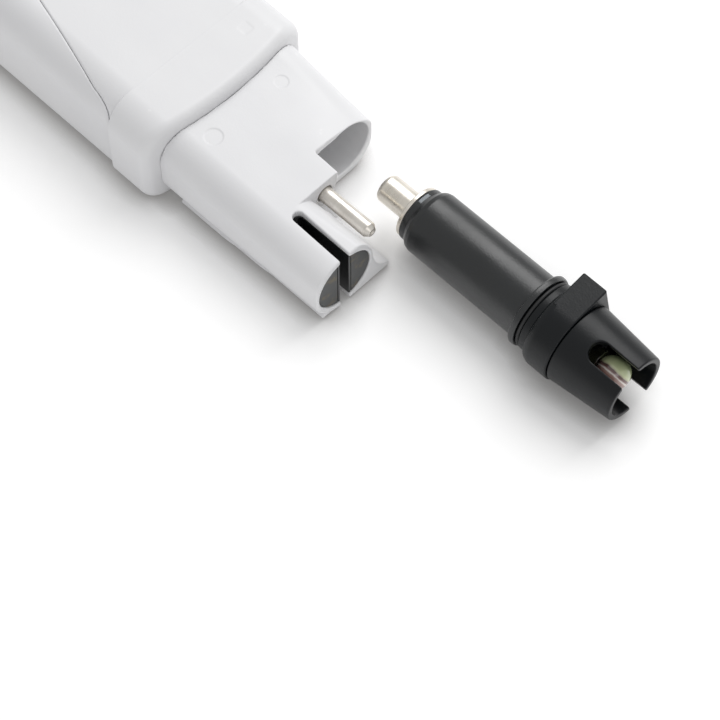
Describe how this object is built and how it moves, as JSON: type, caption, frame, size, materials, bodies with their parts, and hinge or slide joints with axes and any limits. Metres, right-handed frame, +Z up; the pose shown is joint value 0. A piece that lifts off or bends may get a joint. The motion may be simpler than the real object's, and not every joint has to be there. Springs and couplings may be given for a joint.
{
  "type": "pocket water quality probe",
  "caption": "Pocket water tester lying face down, its plug-in pH electrode drawn out in line with the socket, with a slotted conductivity cell, temperature pin, two keys and a battery cap.",
  "frame": {"origin": "middle of the footprint, on the surface that the probe lies on", "axes": "+Y runs from the sensor end to the battery end, +Z is up out of the probe's back, +X is the pH electrode's side"},
  "size_m": [0.0396, 0.1998, 0.0233],
  "materials": {
    "white_shell": "fine satin moulded",
    "black_plastic": "satin moulded",
    "black_rubber": "smooth",
    "cell_graphite": "ground flat",
    "nickel": "plated, lightly worn",
    "steel": "drawn and polished",
    "gold_contact": "plated",
    "electrode_glass": "blown",
    "clear_window": "polished",
    "lcd": "polished",
    "key_grey": "satin",
    "board_green": "solder mask",
    "insulator": "satin"
  },
  "bodies": {
    "casing": {"probe_housing": "white_shell", "middle_shell": "white_shell", "upper_shell": "white_shell", "contact_strip_1": "black_rubber", "contact_strip_2": "black_rubber", "battery_1": "steel", "battery_2": "steel", "battery_3": "steel", "battery_4": "steel", "temperature_pin": "steel", "display_window": "clear_window", "lcd_glass": "lcd", "lcd_frame": "black_plastic", "tact_switch_1": "black_plastic", "tact_switch_2": "black_plastic", "processor": "black_plastic", "battery_holder": "black_plastic", "cell_liner": "black_plastic", "circuit_board": "board_green", "battery_contact_negative": "nickel", "battery_contact_positive": "nickel", "socket_barrel": "nickel", "cell_block_left": "cell_graphite", "cell_block_right": "cell_graphite", "socket_contact": "gold_contact", "socket_insulator": "insulator"},
    "cap": {"battery_cap": "white_shell", "cap_gasket": "black_rubber", "cap_screw_1": "steel", "cap_screw_2": "steel", "cap_screw_3": "steel", "cap_screw_4": "steel"},
    "mode_key": {"mode_button": "key_grey"},
    "hold_key": {"hold_button": "key_grey"},
    "electrode_carrier": {"sealing_ring": "black_rubber"},
    "electrode": {"plug_barrel": "nickel", "plug_insulator": "insulator", "plug_flange": "nickel", "rear_collar": "black_plastic", "electrode_tube": "black_plastic", "reference_wire": "gold_contact", "stop_flange": "black_plastic", "locking_collar": "black_plastic", "bulb_guard": "black_plastic", "glass_stem": "electrode_glass", "glass_bulb": "electrode_glass", "junction_plug": "insulator"}
  },
  "joints": [
    {"name": "electrode_insert", "type": "slide", "parent": "casing", "child": "electrode_carrier", "axis": [0, 1, 0], "range_m": [0, 0.0465]},
    {"name": "electrode_turn", "type": "hinge", "parent": "electrode_carrier", "child": "electrode", "pos_m": [0.00945, -0.0782, 0.0082], "axis": [0, 1, 0], "range_deg": [0, 45]},
    {"name": "mode_key_press", "type": "slide", "parent": "casing", "child": "mode_key", "axis": [0, 0, 1], "range_m": [0, 0.0007], "stiffness_N_per_m": 600, "springref_m": -0.0006},
    {"name": "hold_key_press", "type": "slide", "parent": "casing", "child": "hold_key", "axis": [0, 0, 1], "range_m": [0, 0.0007], "stiffness_N_per_m": 600, "springref_m": -0.0006},
    {"name": "battery_cap_off", "type": "slide", "parent": "casing", "child": "cap", "axis": [0, 1, 0], "range_m": [0, 0.03]}
  ]
}
